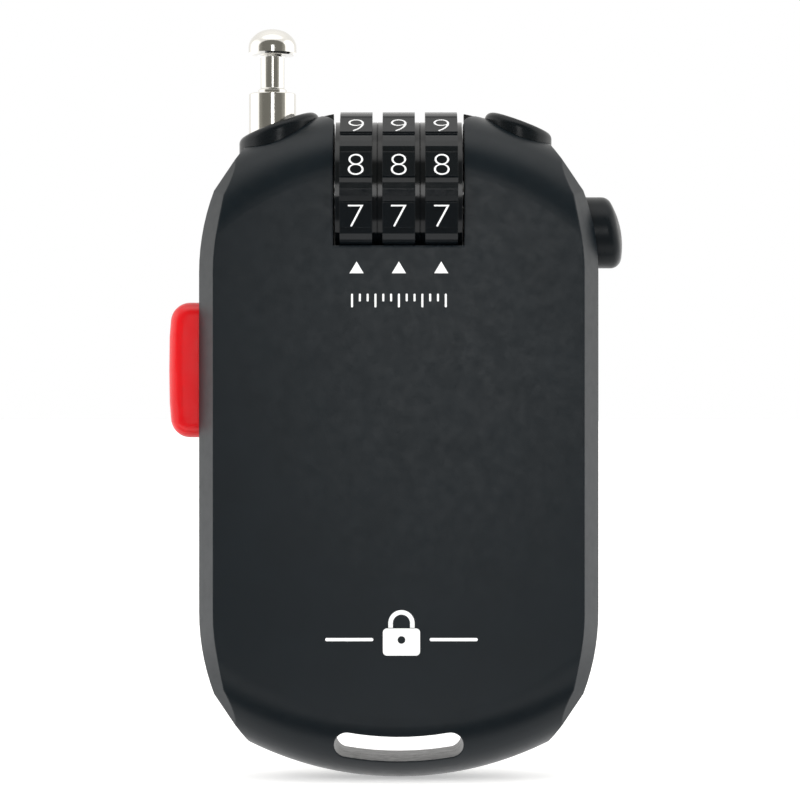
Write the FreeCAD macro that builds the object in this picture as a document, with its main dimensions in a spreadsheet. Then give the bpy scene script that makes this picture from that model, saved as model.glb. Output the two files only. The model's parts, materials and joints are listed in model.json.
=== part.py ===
import FreeCAD, Part
import os, re, math
import Sketcher

# Retractable cable luggage lock with three number dials.
# Frame: millimetres, +Z up, +X to the right of somebody who looks at the face with the
# dials upright, the front face towards -Y.  The origin is the lowest point of the case,
# on the plane where the two shells meet.

V, R, P = FreeCAD.Vector, FreeCAD.Rotation, FreeCAD.Placement
doc = FreeCAD.newDocument("CableLock")
sheet = doc.addObject("Spreadsheet::Sheet", "Sizes")

SIZES = [
    # the case: a coin about Y, trimmed by sides that are upright in the middle and slope towards the two faces
    ("coin_rad", 37.6), ("coin_half", 7.3), ("coin_round", 7.2), ("wall", 1.4),
    ("side_half", 22.19), ("side_low", 18.74), ("side_arc", 25.7), ("knee_x", 20.59), ("knee_z", 9.65),
    ("foot_x", 11.85), ("foot_z", -3.3), ("side_flat", 4.2), ("draft", 29.3),
    # number dials on the spindle, axis along X
    ("dial_z", 65.4), ("dial_pitch", 4.72), ("face_w", 3.58), ("face_apothem", 9.1), ("collar_r", 8.1),
    ("collar_w", 4.62), ("gap_half", 1.481), ("gap_rim", 9.087), ("rib_foot", 1.30), ("rib_foot_r", 8.89),
    ("rib_r", 9.17), ("rib_half", 0.72), ("rib_crest", 9.25), ("spline_r", 4.9), ("spline_play", 0.06), ("spline_w", 1.1),
    ("ring_r", 4.2), ("ring_w", 4.4), ("ring_bore", 2.9), ("web_w", 0.6), ("key_w", 1.5), ("key_r", 2.5),
    ("win_half", 7.25), ("win_r", 9.5),
    # spindle, latch slider and release knob
    ("spin_r", 1.5), ("run_play", 0.05), ("lug_w", 0.6), ("lug_t", 1.3), ("lug_r", 2.4), ("lug_at", 0.85),
    ("spin_left", -8.6), ("press", 1.7),
    ("knob_z", 61.1), ("knob_r", 4.0), ("knob_in", 20.0), ("knob_seat", 19.6), ("knob_bore", 3.0), ("knob_hole", 4.1),
    ("latch_t", 1.2), ("latch_y", 3.9), ("latch_left", 10.05), ("latch_right", 19.0), ("arm_t", 0.8), ("arm_top", 67.4),
    ("stem_r", 1.25), ("stem_end", 23.9), ("knob_depth", 2.9), ("dome_r", 9.75), ("dome_x", 15.35), ("dome_z", 59.6), ("dome_round", 1.2),
    # socket (right) and cable exit (left)
    ("sock_x", 13.8), ("sock_r", 2.85), ("cup_r", 3.0), ("pin_x", -14.2), ("exit_r", 2.72), ("tube_low", 67.6),
    ("exitb_r", 4.48), ("exitb_x", -13.44), ("exitb_z", 73.28), ("sockb_r", 3.76), ("sockb_x", 13.42), ("sockb_z", 73.55),
    ("boss_tilt", 20.5), ("boss_lip", 0.5), ("boss_lip_h", 0.7), ("boss_round", 0.8),
    # crests of the frame that stand beside the dials, and the rounded edge of the case above them
    ("crest_in", 7.3), ("crest_out", 8.88), ("crest_y", 1.2), ("edge_x", 8.9), ("edge_z", 71.83), ("edge_r", 2.3),
    # cable end pin
    ("head_r", 2.7), ("neck_r", 1.35), ("sleeve_r", 2.65), ("pin_top", 84.0), ("head_low", 81.0), ("sleeve_top", 76.7),
    ("sleeve_low", 62.7), ("cable_r", 0.8),
    # reel
    ("reel_x", 0.75), ("reel_z", 34.0), ("flange_r", 18.5), ("tooth_root", 17.3), ("drum_r", 12.6), ("hub_cavity", 10.6),
    ("groove_half", 3.3), ("flange_w", 1.0), ("axle_r", 2.0), ("coil_in", 13.4), ("coil_out", 14.95), ("coil_wire", 0.77),
    ("coil_pitch", 1.62),
    # retract button and pawl
    ("btn_out", -25.7), ("btn_in", -20.3), ("btn_z", 45.65), ("btn_half", 7.55), ("btn_y", 3.2), ("btn_press", 1.6),
    ("pawl_x", -17.2), ("pawl_z", 44.5), ("pawl_pin_r", 0.8), ("pawl_w", 1.0),
    # lanyard slot, an arc about the centre of the coin
    ("slot_mid", 33.9), ("slot_w", 2.9), ("slot_half_angle", 9.7), ("slot_wall", 1.1),
    # screws
    ("screw_r", 0.8), ("screw_head_r", 1.7), ("boss_r", 1.9),
]
N = {}
for row, (alias, value) in enumerate(SIZES, 1):
    sheet.set("A%d" % row, alias)
    sheet.set("B%d" % row, str(value))
    sheet.setAlias("B%d" % row, alias)
    N[alias] = value
doc.recompute()


def E(text):
    """An expression on the sheet's cells."""
    return re.sub(r"[A-Za-z_][A-Za-z_0-9]*", lambda w: "Sizes." + w.group(0) if w.group(0) in N else w.group(0), str(text))


def bind(obj, **sizes):
    for prop, text in sizes.items():
        obj.setExpression(prop, E(text))


def put(obj, at, turn=None):
    """Placement: a fixed rotation and a base point bound to the sheet."""
    obj.Placement = P(V(0, 0, 0), turn or R())
    for key, text in zip("xyz", at):
        obj.setExpression("Placement.Base." + key, E(text))
    return obj


TURN = {"X": R(V(0, 1, 0), 90), "Y": R(V(1, 0, 0), -90), "Z": R(), "-Y": R(V(1, 0, 0), 90), "-X": R(V(0, 1, 0), -90), "-Z": R(V(1, 0, 0), 180)}
count = [0]


def named(kind, name=None):
    count[0] += 1
    return doc.addObject(kind, name or "Tool%03d" % count[0])


def cyl(r, length, axis, at, name=None):
    c = named("Part::Cylinder", name)
    bind(c, Radius=r, Height=length)
    return put(c, at, TURN[axis] if isinstance(axis, str) else axis)


def cone(r1, r2, length, axis, at, name=None):
    c = named("Part::Cone", name)
    bind(c, Radius1=r1, Radius2=r2, Height=length)
    return put(c, at, TURN[axis] if isinstance(axis, str) else axis)


def ball(r, at, name=None):
    c = named("Part::Sphere", name)
    bind(c, Radius=r)
    return put(c, at)


def torus(r1, r2, axis, at, start=None, end=None, name=None, turn=None):
    c = named("Part::Torus", name)
    bind(c, Radius1=r1, Radius2=r2)
    if end is not None:
        c.Angle3 = end
    return put(c, at, turn or TURN[axis])


def box(x0, x1, y0, y1, z0, z1, name=None):
    b = named("Part::Box", name)
    bind(b, Length="(%s)-(%s)" % (x1, x0), Width="(%s)-(%s)" % (y1, y0), Height="(%s)-(%s)" % (z1, z0))
    return put(b, (x0, y0, z0))


def fuse(items, name=None):
    items = list(items)
    if len(items) == 1 and not name:
        return items[0]
    f = named("Part::MultiFuse", name)
    f.Shapes = items
    f.Refine = True
    return f


def cut(base, tools, name=None):
    c = named("Part::Cut", name)
    c.Base = base
    c.Tool = fuse(tools) if isinstance(tools, (list, tuple)) else tools
    c.Refine = True
    return c


def common(a, b, name=None):
    c = named("Part::Common", name)
    c.Base, c.Tool = a, b
    c.Refine = True
    return c


def plane(body, role):
    return next(f for f in body.Origin.OriginFeatures if f.Role == role)


def sketch(body, role):
    s = body.newObject("Sketcher::SketchObject", "Sketch_" + body.Name)
    s.AttachmentSupport = [(plane(body, role), "")]
    s.MapMode = "FlatFace"
    return s


def circle(s, r, cx="0", cz="0"):
    """A circle whose radius and centre are bound to the sheet."""
    x, z = N_of(cx), N_of(cz)
    g = s.addGeometry(Part.Circle(V(x, z, 0), V(0, 0, 1), N_of(r)), False)
    s.setExpression("Constraints[%d]" % s.addConstraint(Sketcher.Constraint("Radius", g, N_of(r))), E(r))
    for kind, text, value in (("DistanceX", cx, x), ("DistanceY", cz, z)):
        if text == "0":
            continue
        i = s.addConstraint(Sketcher.Constraint(kind, -1, 1, g, 3, value))
        s.setExpression("Constraints[%d]" % i, E(text))
    if cx == "0" and cz == "0":
        s.addConstraint(Sketcher.Constraint("Coincident", g, 3, -1, 1))
    return g


def N_of(text):
    """The present number behind a sum of cells and numbers, read back through the sheet."""
    probe.setExpression("Value", E(text))
    probe.recompute()
    return float(probe.Value)


probe = doc.addObject("App::FeaturePython", "Probe")
probe.addProperty("App::PropertyFloat", "Value")


def polygon(s, points):
    """A closed polygon whose corners are bound to the sheet."""
    at = [(N_of(a), N_of(b)) for a, b in points]
    first = s.addGeometry([Part.LineSegment(V(*at[i], 0), V(*at[(i + 1) % len(at)], 0)) for i in range(len(at))], False)[0]
    n = len(at)
    for i in range(n):
        s.addConstraint(Sketcher.Constraint("Coincident", first + i, 2, first + (i + 1) % n, 1))
    for i, (a, b) in enumerate(points):
        for kind, text, value in (("DistanceX", a, at[i][0]), ("DistanceY", b, at[i][1])):
            if abs(value) < 1e-9:
                s.addConstraint(Sketcher.Constraint("PointOnObject", first + i, 1, -2 if kind == "DistanceX" else -1))
                continue
            k = s.addConstraint(Sketcher.Constraint(kind, -1, 1, first + i, 1, value))
            s.setExpression("Constraints[%d]" % k, E(text))
    return first


def pad(body, s, length, mid=False, back=False, taper=None):
    p = body.newObject("PartDesign::Pad", "Pad_" + body.Name)
    p.Profile = s
    bind(p, Length=length)
    if hasattr(p, "SideType"):
        p.SideType = "Symmetric" if mid else "One side"
    else:
        p.Midplane = mid
    p.Reversed = back
    if taper is not None:
        bind(p, TaperAngle=taper)
    return p


def fillet_on(base, pick, radius, body):
    """A PartDesign fillet on the edges that pick chooses."""
    doc.recompute()
    names = ["Edge%d" % i for i, e in enumerate(base.Shape.Edges, 1) if pick(e)]
    if not names:
        raise ValueError("no edge for a fillet on " + base.Name)
    f = body.newObject("PartDesign::Fillet", "Round_" + body.Name)
    f.Base = (base, names)
    bind(f, Radius=radius)
    body.Tip = f
    return f


def mid(e):
    return e.valueAt((e.FirstParameter + e.LastParameter) / 2)


PARTS = []


def part(obj, label):
    obj.Label = label
    PARTS.append(obj)
    return obj


# ---------------------------------------------------------------- the case
def coin(name, inset):
    """The coin about Y with its rounded rim, made smaller all round by inset."""
    b = doc.addObject("PartDesign::Body", name)
    s = sketch(b, "XZ_Plane")
    circle(s, "coin_rad - (%s)" % inset)
    p = pad(b, s, "2*(coin_half - (%s))" % inset, mid=True)
    fillet_on(p, lambda e: isinstance(e.Curve, Part.Circle) and len(e.Vertexes) == 1, "coin_round - (%s)" % inset, b)
    return put(b, ("0", "0", "coin_rad"))


def outline(s, inset):
    """The outline of the drafted sides in the parting plane, about the middle height."""
    w = N["side_half"] - inset
    rise = N["coin_rad"] - N["side_low"]
    cx, r = N["side_half"] - N["side_arc"], N["side_arc"] - inset
    kz = N["coin_rad"] - N["knee_z"]
    # the knee, where the arc meets the straight diagonal, moved in by the inset
    kx = cx + math.sqrt(r * r - (kz - rise) ** 2)
    fx = kx - (N["knee_x"] - N["foot_x"])
    fz = kz + (N["knee_z"] - N["foot_z"])
    pts = {}
    geo = []
    quarter = {}
    for sx in (1, -1):
        for sz in (1, -1):
            quarter[sx, sz] = [V(sx * w, sz * rise, 0), V(sx * kx, sz * kz, 0), V(sx * fx, sz * fz, 0)]

    def arc(sx, sz):
        a, k = quarter[sx, sz][:2]
        am = math.asin((kz - rise) / r) / 2
        m = V(sx * (cx + r * math.cos(am)), sz * (rise + r * math.sin(am)), 0)
        return a, m, k

    order = []
    a, m, k = arc(1, 1)
    order += [Part.LineSegment(quarter[1, -1][0], a), Part.Arc(a, m, k), Part.LineSegment(k, quarter[1, 1][2]), Part.LineSegment(quarter[1, 1][2], quarter[-1, 1][2])]
    a, m, k = arc(-1, 1)
    order += [Part.LineSegment(quarter[-1, 1][2], k), Part.Arc(k, m, a), Part.LineSegment(a, quarter[-1, -1][0])]
    a, m, k = arc(-1, -1)
    order += [Part.Arc(a, m, k), Part.LineSegment(k, quarter[-1, -1][2]), Part.LineSegment(quarter[-1, -1][2], quarter[1, -1][2])]
    a, m, k = arc(1, -1)
    order += [Part.LineSegment(quarter[1, -1][2], k), Part.Arc(k, m, a)]
    s.addGeometry(order, False)
    # the two upright sides are tied to the sheet
    for g, sx in ((0, 1), (6, -1)):
        for pos in (1, 2):
            i = s.addConstraint(Sketcher.Constraint("DistanceX", -1, 1, g, pos, sx * w))
            s.setExpression("Constraints[%d]" % i, E("%d*(side_half - %s)" % (sx, inset)))


def sides(name, inset, back):
    """One half of the sides: upright from the parting plane, then sloping inwards to the face."""
    b = doc.addObject("PartDesign::Body", name)
    s = sketch(b, "XZ_Plane")
    outline(s, inset)
    pad(b, s, "side_flat", back=back)
    s = sketch(b, "XZ_Plane")
    s.setExpression("AttachmentOffset.Base.z", E("%sside_flat" % ("-" if back else "")))
    outline(s, inset)
    pad(b, s, "coin_half + 0.4 - side_flat", back=back, taper="-draft")
    return put(b, ("0", "0", "coin_rad"))


def arc_slot(name, extra):
    """The lanyard slot, an arc about the centre of the coin, widened by extra."""
    b = doc.addObject("PartDesign::Body", name)
    s = sketch(b, "XZ_Plane")
    half, a = N["slot_w"] / 2 + extra, math.radians(N["slot_half_angle"])
    ri, ro, rm = N["slot_mid"] - half, N["slot_mid"] + half, N["slot_mid"]
    pt = lambda r, t: V(r * math.sin(t), -r * math.cos(t), 0)
    end = lambda sg: pt(rm, sg * a) + V(math.cos(a) * sg, math.sin(a), 0) * half
    g = s.addGeometry([
        Part.Arc(pt(ro, -a), pt(ro, 0), pt(ro, a)),
        Part.Arc(pt(ro, a), end(1), pt(ri, a)),
        Part.Arc(pt(ri, a), pt(ri, 0), pt(ri, -a)),
        Part.Arc(pt(ri, -a), end(-1), pt(ro, -a)),
    ], False)
    for a_, pa, b_, pb_ in ((0, 2, 1, 1), (1, 2, 2, 2), (2, 1, 3, 1), (3, 2, 0, 1)):
        s.addConstraint(Sketcher.Constraint("Coincident", a_, pa, b_, pb_))
    for i, text in ((0, "slot_mid + slot_w/2 + %s" % extra), (2, "slot_mid - slot_w/2 - %s" % extra)):
        k = s.addConstraint(Sketcher.Constraint("Radius", i, N_of(text)))
        s.setExpression("Constraints[%d]" % k, E(text))
    pad(b, s, "4*coin_half", mid=True)
    return put(b, ("0", "0", "coin_rad"))


SCREWS = [("-15", "12.3"), ("15", "12.3"), ("-18.2", "57.4"), ("18.2", "52.6")]


def collar_room(r, x, play):
    """The space of a collar: its upright barrel and the lip that keeps it in the case."""
    return [
        cyl("%s + %s" % (r, play), "14", "Z", (x, "0", "tube_low - 0.1")),
        cyl("%s + boss_lip + %s" % (r, play), "boss_lip_h + 0.1 + %s" % play, "Z", (x, "0", "tube_low - 0.1")),
    ]


def by_sides(make):
    """The same tool on the left and on the right of the dials."""
    return [make("-crest_out", "-crest_in"), make("crest_in", "crest_out")]


def shell(name, back):
    sg = 1 if back else -1
    outer = common(sides(name + "_sides", 0, back), coin(name + "_coin", "0"))
    inner = common(sides(name + "_core", 1.4, back), coin(name + "_hollow", "wall"))
    skin = cut(outer, inner)
    y = lambda a, b: ("%s" % a, "%s" % b) if back else ("-(%s)" % b, "-(%s)" % a)
    adds = []
    # wall round the lanyard slot
    adds.append(common(outer, arc_slot(name + "_slotwall", N["slot_wall"])))
    # screw bosses
    for x, z in SCREWS:
        a, b = y("0", "coin_half - wall/2")
        adds.append(common(outer, cyl("boss_r", "(%s)-(%s)" % (b, a), "Y", (x, a, z))))
    if not back:
        # seat of the reel axle, feet of the frame, and the wall behind the retract spring
        adds.append(cyl("3.2", "0.9 + wall/2", "Y", ("reel_x", "-coin_half + wall/2", "reel_z")))
        for x in ("-6", "6"):
            adds.append(cyl("1.15", "0.6 + wall/2", "Y", (x, "-coin_half + wall/2", "53.5")))
        adds.append(box("-16.3", "-15.5", "-coin_half + wall/2", "1.8", "48.6", "52.6"))
    else:
        # the pawl's pin post and the post over the end of the axle
        adds.append(cyl("1.7", "0.6 + wall/2", "Y", ("pawl_x", "coin_half - wall - 0.6", "pawl_z")))
    whole = fuse([skin] + adds)
    # dial window, cut round about the dials
    a, b = y("-0.01", "coin_half + 3")
    cuts = [
        box("-win_half", "win_half", a, b, "dial_z", "dial_z + 14"),
        cyl("win_r", "2*win_half", "X", ("-win_half", "0", "dial_z")),
        arc_slot(name + "_slot", 0),
        cyl("knob_hole", "9.8", "X", ("knob_in - press - 0.4", "0", "knob_z")),
        box("-crest_out - 0.22", "-win_half + 0.1", "-crest_y - 0.05", "crest_y + 0.05", "70", "77"),
        box("win_half - 0.1", "crest_out + 0.06", "-crest_y - 0.05", "crest_y + 0.05", "70", "77"),
        cut(box("-edge_x", "-win_half + 0.3", "-8", "8", "edge_z + 1", "77"), [cyl("edge_r", "18", "Y", ("-edge_x", "-9", "edge_z"))]),
        cut(box("win_half - 0.3", "edge_x", "-8", "8", "edge_z + 1", "77"), [cyl("edge_r", "18", "Y", ("edge_x", "-9", "edge_z"))]),
        box("btn_out - 1", "btn_in + 1.7", "-btn_y - 0.1", "btn_y + 0.1", "btn_z - btn_half - 0.1", "btn_z + btn_half + 0.1"),
    ]
    cuts += collar_room("exitb_r", "exitb_x", "0.02") + collar_room("sockb_r", "sockb_x", "0.02")
    if back:
        for x, z in SCREWS:
            cuts += [cyl("screw_r + 0.05", "9", "Y", (x, "-0.5", z)), cyl("screw_head_r + 0.1", "4", "Y", (x, "coin_half - 1.75", z))]
        cuts.append(cyl("pawl_pin_r", "1.2", "Y", ("pawl_x", "coin_half - wall - 0.7", "pawl_z")))
    else:
        for x, z in SCREWS:
            cuts.append(cyl("screw_r", "5", "Y", (x, "-4.9", z)))
        cuts.append(cyl("1.6", "1.4", "Y", ("reel_x", "-coin_half + wall - 0.4", "reel_z")))
        for x in ("-6", "6"):
            cuts.append(cyl("0.6", "2.2", "Y", (x, "-coin_half + 0.6", "53.5")))
    return part(cut(whole, cuts, name), name)


shell("front_shell", False)
shell("rear_shell", True)

screws = []
for x, z in SCREWS:
    shank = cyl("screw_r", "10.1", "Y", (x, "-4.55", z))
    head = cyl("screw_head_r", "1.5", "Y", (x, "coin_half - 1.75", z))
    slot = box("(%s) - 1.1" % x, "(%s) + 1.1" % x, "coin_half - 0.75", "coin_half + 0.2", "(%s) - 0.22" % z, "(%s) + 0.22" % z)
    slot2 = box("(%s) - 0.22" % x, "(%s) + 0.22" % x, "coin_half - 0.75", "coin_half + 0.2", "(%s) - 1.1" % z, "(%s) + 1.1" % z)
    screws.append(cut(fuse([shank, head]), [slot, slot2]))
group = named("Part::Compound", "case_screws")
group.Links = screws
part(group, "case_screws")


# ---------------------------------------------------------------- collars on the shoulders
def collar(name, sign, r, x, z, bore_x, bore_r):
    """An upright barrel, cut off along the slope of the shoulder, with a rounded edge."""
    b = doc.addObject("PartDesign::Body", name + "_barrel")
    s = sketch(b, "XY_Plane")
    circle(s, r)
    pad(b, s, "%s + 3 - tube_low" % z)
    doc.recompute()
    s = sketch(b, "XZ_Plane")
    k = sign * 7 * math.tan(math.radians(N["boss_tilt"]))
    polygon(s, [("-7", "%s - tube_low + %.6f" % (z, k)), ("7", "%s - tube_low - %.6f" % (z, k)), ("7", "%s - tube_low + 12" % z), ("-7", "%s - tube_low + 12" % z)])
    doc.recompute()
    c = b.newObject("PartDesign::Pocket", name + "_slope")
    c.Profile = s
    c.Type = "ThroughAll"
    if hasattr(c, "SideType"):
        c.SideType = "Symmetric"
    else:
        c.Midplane = True
    doc.recompute()
    fillet_on(c, lambda e: len(e.Vertexes) == 1 and mid(e).z > 1, "boss_round", b)
    put(b, (x, "0", "tube_low"))
    lip = cyl("%s + boss_lip" % r, "boss_lip_h", "Z", (x, "0", "tube_low"))
    return part(cut(fuse([b, lip]), [cyl(bore_r, "14", "Z", (bore_x, "0", "tube_low - 2"))], name), name)


collar("exit_collar", -1, "exitb_r", "exitb_x", "exitb_z", "pin_x", "exit_r")
collar("socket_collar", 1, "sockb_r", "sockb_x", "sockb_z", "sock_x", "sock_r")

# ---------------------------------------------------------------- the frame that carries the dials
room = common(coin("frame_room", "wall + 0.1"), fuse([sides("frame_side_a", 1.5, False), sides("frame_side_b", 1.5, True)]))
cheeks = [box("%s7.25 - %s" % (a, b), "%s7.25 + %s" % (a, c), "-5.75", "5.75", "54.7", "74") for a, b, c in (("-", "0.9", "0"), ("", "0", "0.9"))]
base = box("-8.15", "8.15", "-5.75", "5.75", "54.7", "55.6")
ears = [cyl("1.5", "0.8", "Y", (x, "-coin_half + wall + 0.6", "53.5")) for x in ("-6", "6")]
ears += [box("%s - 1.5" % x, "%s + 1.5" % x, "-coin_half + wall + 0.6", "-coin_half + wall + 1.4", "53.5", "55") for x in ("-6", "6")]
cup = box("8.1", "18.0", "-4.3", "4.3", "54.7", "60.4")
seat = cut(cyl("knob_bore - 0.1", "knob_seat - 17.6", "X", ("17.6", "0", "knob_z")), [box("17", "knob_seat - 0.5", "-5", "5", "knob_z - latch_t/2 - 0.1", "knob_z + latch_t/2 + 0.1")])
frame = common(fuse(cheeks + [base, cup, seat]), room)
crests = common(coin("crest_coin", "0.06"), fuse(by_sides(lambda a, b: box(a, b, "-crest_y", "crest_y", "70", "77"))))
frame = cut(fuse([frame, crests] + ears), [
    cyl("spin_r + run_play", "20", "X", ("-10", "0", "dial_z")),
    cyl("cup_r", "10", "Z", ("sock_x", "0", "55.3")),
    cyl("stem_r + 0.1", "4.4", "X", ("knob_seat - 2.9", "0", "knob_z")),
    *collar_room("exitb_r", "exitb_x", "0.05"), *collar_room("sockb_r", "sockb_x", "0.05"),
    cyl("0.65", "3", "Y", ("-6", "-7", "53.5")), cyl("0.65", "3", "Y", ("6", "-7", "53.5")),
    box("8.6", "9.9", "-3.4", "3.4", "55.6", "60.5"),
], "inner_frame")
part(frame, "inner_frame")

fs = []
for x in ("-6", "6"):
    fs.append(cut(fuse([cyl("0.6", "2.1", "Y", (x, "-coin_half + 0.7", "53.5")), cyl("1.1", "0.6", "Y", (x, "-coin_half + wall + 1.4", "53.5"))]),
                  [box("%s - 0.8" % x, "%s + 0.8" % x, "-coin_half + wall + 1.75", "0", "53.35", "53.65")]))
group = named("Part::Compound", "frame_screws")
group.Links = fs
part(group, "frame_screws")

# three sprung fingers whose rounded tips bear on the number faces that point down
fingers = [box("-7.1", "7.1", "-5.6", "-3.9", "55.6", "55.8")]
for i in (-1, 0, 1):
    x = "%d*dial_pitch" % i
    fingers.append(box("%s - 1.3" % x, "%s + 1.3" % x, "-5.6", "0.2", "55.6", "55.8"))
    fingers.append(cyl("0.33", "2.6", "X", ("%s - 1.3" % x, "0.2", "55.94")))
part(fuse(fingers, "dial_detent_spring"), "dial_detent_spring")


# ---------------------------------------------------------------- dials
def dial(name, i):
    x = "%d*dial_pitch" % i
    b = doc.addObject("PartDesign::Body", name + "_faces")
    s = sketch(b, "YZ_Plane")
    circle(s, "face_apothem/cos(18) + 0.2")
    p = pad(b, s, "face_w", mid=True)
    # one flat number face, and one low rib with chamfered edges between two faces, ten times round
    tips = []
    for kind in ("flat", "gap"):
        s = sketch(b, "YZ_Plane")
        if kind == "flat":
            polygon(s, [("-4", "face_apothem"), ("4", "face_apothem"), ("4", "face_apothem + 2"), ("-4", "face_apothem + 2")])
        else:
            polygon(s, [("-rib_crest", "0"), ("-rib_r", "rib_half"), ("-rib_foot_r", "rib_foot"), ("-gap_rim", "gap_half"), ("-gap_rim - 1", "gap_half"),
                        ("-gap_rim - 1", "-gap_half"), ("-gap_rim", "-gap_half"), ("-rib_foot_r", "-rib_foot"), ("-rib_r", "-rib_half")])
        doc.recompute()
        k = b.newObject("PartDesign::Pocket", name + "_" + kind)
        k.Profile = s
        k.Type = "ThroughAll"
        if hasattr(k, "SideType"):
            k.SideType = "Symmetric"
        else:
            k.Midplane = True
        doc.recompute()
        pp = b.newObject("PartDesign::PolarPattern", name + "_" + kind + "_ring")
        pp.Originals = [k]
        pp.Axis = (next(f for f in b.Origin.OriginFeatures if f.Role == "X_Axis"), [""])
        pp.Angle = 360
        pp.Occurrences = 10
        b.Tip = pp
        doc.recompute()
    put(b, (x, "0", "dial_z"))
    hub = cyl("collar_r", "collar_w", "X", ("%s - collar_w/2" % x, "0", "dial_z"))
    tools = [cyl("ring_r + spline_play", "6", "X", ("%s - 3" % x, "0", "dial_z"))]
    for k in range(10):
        t = named("Part::Box")
        bind(t, Length="6", Width="spline_w + 2*spline_play", Height="spline_r + spline_play")
        a = math.radians(36 * k)
        t.Placement = P(V(0, 0, 0), R(V(1, 0, 0), 36 * k))
        t.setExpression("Placement.Base.x", E("%s - 3" % x))
        t.setExpression("Placement.Base.y", E("-(spline_w/2 + spline_play)*%.9f" % math.cos(a)))
        t.setExpression("Placement.Base.z", E("dial_z - (spline_w/2 + spline_play)*%.9f" % math.sin(a)))
        tools.append(t)
    return part(cut(fuse([b, hub]), tools, name), name)


def code_ring(name, i):
    """A toothed sleeve with a thin web that the spindle's lug passes only through its one keyway."""
    x = "%d*dial_pitch" % i
    teeth = [cyl("ring_r", "ring_w", "X", ("%s - ring_w/2" % x, "0", "dial_z"))]
    for k in range(10):
        t = named("Part::Box")
        bind(t, Length="ring_w", Width="spline_w", Height="spline_r")
        a = math.radians(36 * k)
        t.Placement = P(V(0, 0, 0), R(V(1, 0, 0), 36 * k))
        t.setExpression("Placement.Base.x", E("%s - ring_w/2" % x))
        t.setExpression("Placement.Base.y", E("-(spline_w/2)*%.9f" % math.cos(a)))
        t.setExpression("Placement.Base.z", E("dial_z - (spline_w/2)*%.9f" % math.sin(a)))
        teeth.append(t)
    tools = [
        cyl("ring_bore", "ring_w/2 - web_w/2 + 1", "X", ("%s + web_w/2" % x, "0", "dial_z")),
        cyl("ring_bore", "ring_w/2 - web_w/2 + 1", "-X", ("%s - web_w/2" % x, "0", "dial_z")),
        cyl("spin_r + run_play", "4", "X", ("%s - 2" % x, "0", "dial_z")),
        box("%s - 1" % x, "%s + 1" % x, "-key_w/2", "key_w/2", "dial_z", "dial_z + key_r"),
    ]
    return part(cut(fuse(teeth), tools, name), name)


for i, side in ((-1, "left"), (0, "centre"), (1, "right")):
    dial("dial_wheel_" + side, i)
    code_ring("code_ring_" + side, i)

# ---------------------------------------------------------------- release: spindle, latch slider, knob, spring
lugs = []
for i in (-1, 0, 1):
    x = "%d*dial_pitch + lug_at" % i
    lugs.append(box("%s - lug_w/2" % x, "%s + lug_w/2" % x, "-lug_t/2", "lug_t/2", "dial_z", "dial_z + lug_r"))
spin = cyl("spin_r", "latch_left - spin_left", "X", ("spin_left", "0", "dial_z"))
tail = cyl("0.9", "arm_t", "X", ("latch_left", "0", "dial_z"))
part(fuse([spin, tail] + lugs, "lock_spindle"), "lock_spindle")

plate = box("latch_left", "latch_right", "-latch_y", "latch_y", "knob_z - latch_t/2", "knob_z + latch_t/2")
arm = box("latch_left", "latch_left + arm_t", "-2.3", "2.3", "knob_z - latch_t/2", "arm_top")
stem = cyl("stem_r", "stem_end - 18.6", "X", ("18.6", "0", "knob_z"))
slider = cut(fuse([plate, arm, stem]), [
    cyl("2.8", "4", "Z", ("sock_x + press", "0", "knob_z - 2")),
    cyl("neck_r + 0.15", "4", "Z", ("sock_x", "0", "knob_z - 2")),
    box("sock_x", "sock_x + press", "-neck_r - 0.15", "neck_r + 0.15", "knob_z - 2", "knob_z + 2"),
    cyl("0.9", "3", "X", ("latch_left - 1", "0", "dial_z")),
], "latch_slider")
part(slider, "latch_slider")

# the knob is a cup with a domed end; the dome leans with the side of the case
dome_ball = ball("dome_r", ("dome_x", "0", "dome_z"))
put(dome_ball, ("dome_x", "0", "dome_z"), R(V(0, 0, 1), 180))
dome = common(cyl("knob_r", "8", "X", ("knob_in", "0", "knob_z")), dome_ball)
doc.recompute()
knob = named("Part::Fillet", "knob_form")
knob.Base = dome
rims = [i for i, e in enumerate(dome.Shape.Edges, 1) if mid(e).x > N["knob_in"] + 1 and e.Length > 10]
knob.Edges = [(i, N["dome_round"], N["dome_round"]) for i in rims]
part(cut(knob, [
    cyl("knob_bore", "knob_depth + 0.01", "X", ("knob_in - 0.01", "0", "knob_z")),
    cyl("stem_r", "3", "X", ("stem_end - 3", "0", "knob_z")),
], "release_button"), "release_button")


def coil_spring(name, wire, radius, length, turns, axis, at):
    h = doc.addObject("Part::Helix", name + "_line")
    h.Pitch = 1.0
    bind(h, Radius=radius, Height=length, Pitch="(%s)/%s" % (length, turns))
    c = doc.addObject("Part::Circle", name + "_wire")
    bind(c, Radius=wire)
    c.Placement = P(V(0, 0, 0), R(V(1, 0, 0), 90))
    c.setExpression("Placement.Base.x", E(radius))
    sw = doc.addObject("Part::Sweep", name)
    sw.Sections = [c]
    sw.Spine = (h, ["Edge1"])
    sw.Solid = True
    sw.Frenet = True
    put(sw, at, TURN[axis])
    return part(sw, name)


coil_spring("release_spring", "0.2", "2.4", "2.85", "3", "X", ("19.83", "0", "knob_z"))

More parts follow.
